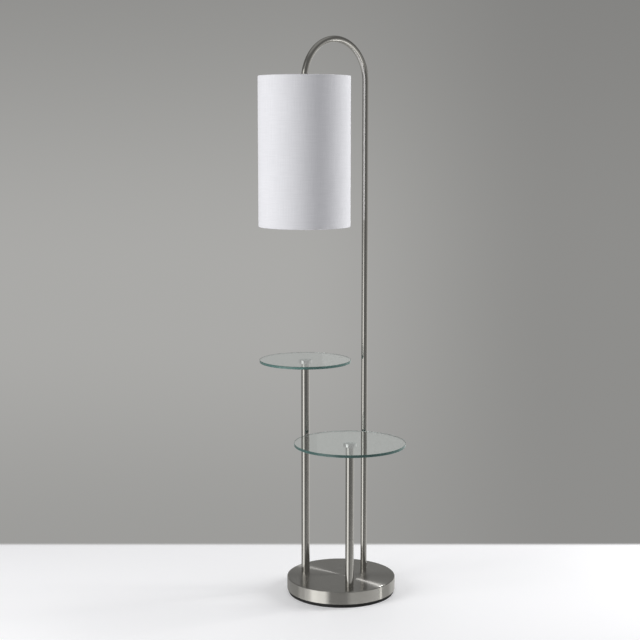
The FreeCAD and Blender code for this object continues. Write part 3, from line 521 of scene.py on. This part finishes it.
# ---- shade ----------------------------------------------------------------------------
FABRIC = 0.8 * MM
HEM = 9.0 * MM
WIRE_GAP = 0.3 * MM
SEAM_HALF = 5.0 * MM
SEAM_PROUD = 0.4 * MM
SEAM_EDGE = 0.25 * MM           # the width of the step beside the lap
SEAM_SLACK = 1e-5               # radians, so that rounding leaves no point out of the lap
PUCKER = 0.12 * MM              # how far the fabric wanders in and out
HEM_PUCKER = 0.25 * MM
PUCKERS_ROUND = 9               # radius of the circle in noise that one turn of the shade follows
PUCKERS_UP = 14                 # per metre of height
SHADE_SIDES = 240
SHADE_ROWS = 48
ROLL_STEPS = 14
FLAP_ROWS = 4


def make_shade(material):
    """The fabric cover: one strip round two rings, rolled over them, with a lapped seam."""
    low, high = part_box("shade_fabric")
    ring_low, ring_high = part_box("shade_bottom_ring")
    axis = box_centre("shade_bottom_ring")
    wire = (ring_high.z - ring_low.z) / 2
    ring_r = (ring_high.x - ring_low.x) / 2 - wire
    roll = wire + WIRE_GAP + FABRIC / 2
    wall_r = ring_r + roll
    flap_r = ring_r - roll
    top_ring = high.z - wire - WIRE_GAP - FABRIC
    bottom_ring = low.z + wire + WIRE_GAP + FABRIC

    path = [(flap_r, bottom_ring + HEM * (1 - i / FLAP_ROWS)) for i in range(FLAP_ROWS)]
    path += arc((ring_r, bottom_ring), roll, 180, 360, ROLL_STEPS)
    path += [(wall_r, bottom_ring + (top_ring - bottom_ring) * i / SHADE_ROWS) for i in range(1, SHADE_ROWS)]
    path += arc((ring_r, top_ring), roll, 0, 180, ROLL_STEPS)
    path += [(flap_r, top_ring - HEM * (i + 1) / FLAP_ROWS) for i in range(FLAP_ROWS)]

    half_seam = SEAM_HALF / wall_r
    seam_turns = []
    for edge in (-half_seam, half_seam):
        seam_turns += [edge % (2 * math.pi), (edge + SEAM_EDGE / wall_r) % (2 * math.pi)]
    turns = sorted([i * (2 * math.pi / SHADE_SIDES) for i in range(SHADE_SIDES)] + seam_turns)

    def build(bm):
        rings = []
        for radius, height in path:
            ring = []
            inside = radius < ring_r
            for turn in turns:
                from_seam = abs((turn + math.pi) % (2 * math.pi) - math.pi)
                lap = 0 if inside or from_seam > half_seam + SEAM_SLACK else SEAM_PROUD
                spot = (math.cos(turn) * PUCKERS_ROUND, math.sin(turn) * PUCKERS_ROUND, height * PUCKERS_UP)
                pucker = noise.noise(Vector(spot))
                r = radius + lap + pucker * (HEM_PUCKER if inside else PUCKER)
                ring.append(bm.verts.new((axis.x + r * math.cos(turn), axis.y + r * math.sin(turn), height)))
            rings.append(ring)
        skin(bm, rings)

    piece = new_piece("linen_shade", build, [material], sharp=50)
    thick = piece.modifiers.new("cloth", "SOLIDIFY")
    thick.thickness = FABRIC
    thick.offset = 0
    stand_in(piece, "shade_fabric")


# ---- floor --------------------------------------------------------------------------------
FLOOR_WHITE = (0.86, 0.86, 0.87)
FLOOR_GLOW = (0.205, 0.205, 0.205)      # added to the floor as the camera sees it, straight or through glass
FLOOR_BACK = 0.48               # behind the base's axis, where the pale floor ends
FLOOR_FRONT = 1.6
FLOOR_SIDE = 1.7
BACK_FADE = 0.02                # to either side of the floor's back edge
BACK_MARGIN = 0.05              # clear floor past that edge
FRONT_FADE = 0.8
SIDE_FADE = 0.5
FLOOR_GAP = 0.3 * MM            # the floor below the pad, so that their faces don't coincide


def make_floor():
    """A pale floor that fades out at its edges, in the camera's heading."""
    material, shader = new_finish("pale_floor")
    side, depth, up = shader.split(shader.place())
    alpha = 1 - shader.ramp(depth, FLOOR_BACK - BACK_FADE, FLOOR_BACK + BACK_FADE)
    alpha = alpha * shader.ramp(depth, -FLOOR_FRONT, -FLOOR_FRONT + FRONT_FADE)
    alpha = alpha * (1 - shader.ramp(abs(side), FLOOR_SIDE - SIDE_FADE, FLOOR_SIDE))
    seen = shader.node("LightPath", output="Is Camera Ray")
    seen = seen + shader.node("LightPath", output="Is Transmission Ray")
    surface = shader.principled(
        Base_Color=FLOOR_WHITE, Roughness=0.35, Specular_IOR_Level=0.3,
        Emission_Color=shader.mix(seen, (0, 0, 0), FLOOR_GLOW), Emission_Strength=1.0)
    clear = shader.node("BsdfTransparent")
    shader.out(shader.node("MixShader", inputs={0: alpha, 1: clear, 2: surface}))

    def build(bm):
        back = FLOOR_BACK + BACK_MARGIN
        corners = [(-FLOOR_SIDE, -FLOOR_FRONT), (FLOOR_SIDE, -FLOOR_FRONT),
                   (FLOOR_SIDE, back), (-FLOOR_SIDE, back)]
        bm.faces.new([bm.verts.new((x, y, 0)) for x, y in corners])

    floor = new_piece("floor", build, [material])
    floor.rotation_euler.z = math.radians(CAMERA_HEADING)
    floor.location.z = -FLOOR_GAP
    floor.visible_glossy = False


# ---- world ----------------------------------------------------------------------------------
WALL_GREY = (0.405, 0.402, 0.39)
FILL_GREY = (0.235, 0.235, 0.245)       # the world's even light on matt surfaces


def mirrored_tone(sky, azimuth, elevation):
    """How bright the studio is where the metal mirrors it: soft boxes, pale floor and dark flags.

    azimuth is the studio's angle and elevation the height over the horizon, both in degrees.
    """
    low = 1 - sky.ramp(elevation, -19.4, -17.6)         # mirrored by the skirt and the tubes' feet
    high = sky.ramp(elevation, -6.5, -3)                # by the upper pole and the arch
    middle = (1 - low) * (1 - high)                     # by the posts and the lower pole
    above = sky.ramp(elevation, 4, 8)                   # by the base's top, the glass and the arch's top
    right = sky.ramp(azimuth, 40, 115)
    left = 1 - sky.ramp(azimuth, -110, -80)
    behind = sky.ramp(abs(azimuth), 140, 160)

    room = 0.15 + 0.32 * right + 0.1 * left + 0.13 * low * (1 - right)
    room = room + 0.38 * sky.band(azimuth, 16, 90, 8) * low - 0.12 * sky.ramp(azimuth, 95, 115) * low
    ceiling = 0.15 + behind * (0.28 - 0.26 * sky.ramp(elevation, 14, 17)) + 0.16 * sky.ramp(elevation, 45, 65)
    room = sky.blend(above, room, ceiling)

    # The main soft box: its front, which dims to the right where it is low, its bright left edge on
    # the skirt, its narrow upper part on the arch and the pole, and its patch on the base's top.
    key_power = 1.15 + 0.1 * low - 0.6 * low * sky.ramp(azimuth, -72, -32)
    key = sky.band(azimuth, -71, -30, 8) * (1 - high) * key_power
    key_edge = (0.5 * sky.band(azimuth, -104, -77, 6) + 0.5 * sky.band(azimuth, -86, -73, 4)) * low
    key_high = sky.band(azimuth, -42, -26, 8) * high * (1 - sky.ramp(elevation, 30, 50))
    key_far = sky.band(azimuth, -72, -29, 5) * sky.band(elevation, 14, 24, 2)

    # The streak on the skirt, the pale right edges of the posts, and the floor close by, which the
    # middle of the skirt and the underside of the arch mirror.
    strip = sky.band(azimuth, 93, 97.5, 1) * sky.band(elevation, -42, -18, 1.5)
    rim = sky.ramp(azimuth, 118, 130) * middle
    near_floor = sky.band(elevation, -38, -34, 1) * sky.band(azimuth, -45, 112, 5)
    return (room + key + key_edge + 0.52 * key_high + key_far
            + 2.0 * strip + 0.3 * rim + 1.4 * near_floor)


def wall_colour(sky, side, elevation):
    """The grey wall: dimmer to the right, above the horizon, and on the left near the floor."""
    dim_right = sky.ramp(side, -0.03, 0.17)
    dim_above = sky.ramp(elevation, -6, 8)
    dim_below = 1 - sky.ramp(elevation, -17, -8)
    light = (1 - 0.33 * dim_right) * (1 - 0.33 * dim_above * (1 - 0.5 * dim_right))
    light = light * (1 - 0.17 * dim_below * (1 - dim_right))
    return sky.scale(WALL_GREY, sky.join(light, light, light))


def make_world():
    """The studio's walls as the camera sees them, and what metal and matt surfaces see instead."""
    world = bpy.data.worlds.new("studio")
    world.use_nodes = True
    world.cycles.sampling_method = "NONE"
    bpy.context.scene.world = world
    sky = Shader(world.node_tree)
    direction = sky.node("TexCoord", output="Generated")
    facing = sky.dot(direction, studio_direction(0))
    side = sky.dot(direction, studio_direction(90))
    rise = sky.split(direction)[2]
    azimuth = sky.math("ARCTAN2", side, facing) * (180 / math.pi)
    elevation = sky.math("ARCSINE", rise) * (180 / math.pi)

    tone = mirrored_tone(sky, azimuth, elevation)
    mirrored = sky.node("CombineColor", inputs={0: tone, 1: tone, 2: tone * 0.98})
    reflections = sky.node("LightPath", output="Glossy Depth")
    diffuse = sky.node("LightPath", output="Is Diffuse Ray")
    seen = sky.mix(reflections, wall_colour(sky, side, elevation), mirrored)
    colour = sky.mix(diffuse, seen, FILL_GREY)
    background = sky.node("Background", inputs={"Color": colour, "Strength": 1.0})
    sky.node("OutputWorld", inputs={"Surface": background})


# ---- put together -----------------------------------------------------------------------
bpy.context.scene.view_settings.view_transform = "Standard"
make_camera()

tube_metal = brushed_tube_finish()
base_metal = brushed_base_finish()
clear_glass = glass_finish("table_glass_face", (0.95, 0.998, 0.982))
# The edge glass is a darker copy of the face glass: its teal is the green of float glass seen edge-on, and
# its darkness is painted shade.
painted_dark_edge_glass = glass_finish("table_glass_edge_painted_shade", (0.17, 0.32, 0.295), roughness=0.16, clearness=0.6)
shade_axis = box_centre("shade_bottom_ring")
linen = fabric_finish((shade_axis.x, shade_axis.y), shade_axis.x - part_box("shade_fabric")[0].x)

FINISHES = {
    "base_steel": base_metal,
    "tube_steel": tube_metal,
    "black_plastic": moulded_finish("black_moulding", (0.006, 0.006, 0.006), (0.012, 0.012, 0.012), 0.6),
    "cement": cement_finish(),
    "pad_rubber": moulded_finish(
        "foam_rubber_pad", (0.012, 0.012, 0.012), (0.03, 0.03, 0.03), 0.8, scale=900, bump=0.15),
    "zinc_steel": metal_finish("zinc_plate", (0.5, 0.5, 0.47), (0.68, 0.67, 0.62), 0.28),
    "table_glass": clear_glass,
    "hub_aluminium": metal_finish("satin_aluminium", (0.8, 0.8, 0.8), (0.88, 0.88, 0.88), 0.07),
    "holder_nickel": metal_finish("bright_nickel", (0.6, 0.58, 0.53), (0.7, 0.68, 0.63), 0.14),
    "paper_sleeve": moulded_finish(
        "grey_card", (0.3, 0.29, 0.27), (0.42, 0.4, 0.37), 0.85, scale=1200, bump=0.1),
    "holder_moulding": moulded_finish("brown_phenolic", (0.03, 0.018, 0.012), (0.06, 0.035, 0.022), 0.3),
    "thread_brass": metal_finish("rolled_brass", (0.6, 0.42, 0.18), (0.78, 0.58, 0.28), 0.22),
    "switch_black": moulded_finish("black_phenolic", (0.01, 0.01, 0.01), (0.018, 0.018, 0.018), 0.25),
    "frosted_glass": frosted_finish(),
    "bulb_aluminium": metal_finish("rolled_aluminium", (0.6, 0.6, 0.6), (0.75, 0.75, 0.75), 0.22),
    "cap_glass": moulded_finish("black_glass_bead", (0.01, 0.01, 0.015), (0.02, 0.02, 0.03), 0.08),
    "clear_glass": glass_finish("stem_glass", (0.97, 0.98, 0.98)),
    "tungsten": metal_finish("drawn_tungsten", (0.25, 0.24, 0.23), (0.35, 0.34, 0.33), 0.3, scale=3000),
    "shade_fabric": linen,
    "shade_liner": moulded_finish("white_styrene", (0.78, 0.78, 0.775), (0.81, 0.81, 0.805), 0.5),
    "ring_wire": moulded_finish("white_painted_wire", (0.72, 0.72, 0.71), (0.8, 0.8, 0.79), 0.3),
    "lead_insulation": moulded_finish("clear_gold_sleeving", (0.5, 0.4, 0.22), (0.58, 0.47, 0.28), 0.35),
    "connector_plastic": moulded_finish("ivory_nylon", (0.66, 0.62, 0.5), (0.72, 0.68, 0.56), 0.4),
}

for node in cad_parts.values():
    for index, material in enumerate(node.data.materials):
        node.data.materials[index] = FINISHES[material.name.split(".")[0]]

make_base_cover(base_metal)
make_tube("upper_post_tube", "upper_table_post", POST_WALL, tube_metal)
make_tube("lower_post_tube", "lower_table_post", POST_WALL, tube_metal)
make_tube("pole_tube_lower", "lamp_pole_lower", POLE_WALL, tube_metal)
make_tube("pole_tube_upper", "lamp_pole_upper", POLE_WALL, tube_metal)
make_arch(tube_metal)
make_glass_top("upper_glass_plate", "upper_glass_top", clear_glass, painted_dark_edge_glass)
make_glass_top("lower_glass_plate", "lower_glass_top", clear_glass, painted_dark_edge_glass)
make_shade(linen)

make_floor()
make_world()
soft_light("key_box", angle=-58, distance=2.6, height=1.35, width=1.2, tall=2.4, power=53)
soft_light("right_box", angle=101, distance=2.6, height=1.35, width=1.0, tall=2.4, power=71)
soft_light("top_box", angle=180, distance=0.6, height=3.2, width=2.4, tall=2.4, power=16, aim=0.0)
glint_light("spark", angle=160, elevation=38, distance=6.0, power=130)
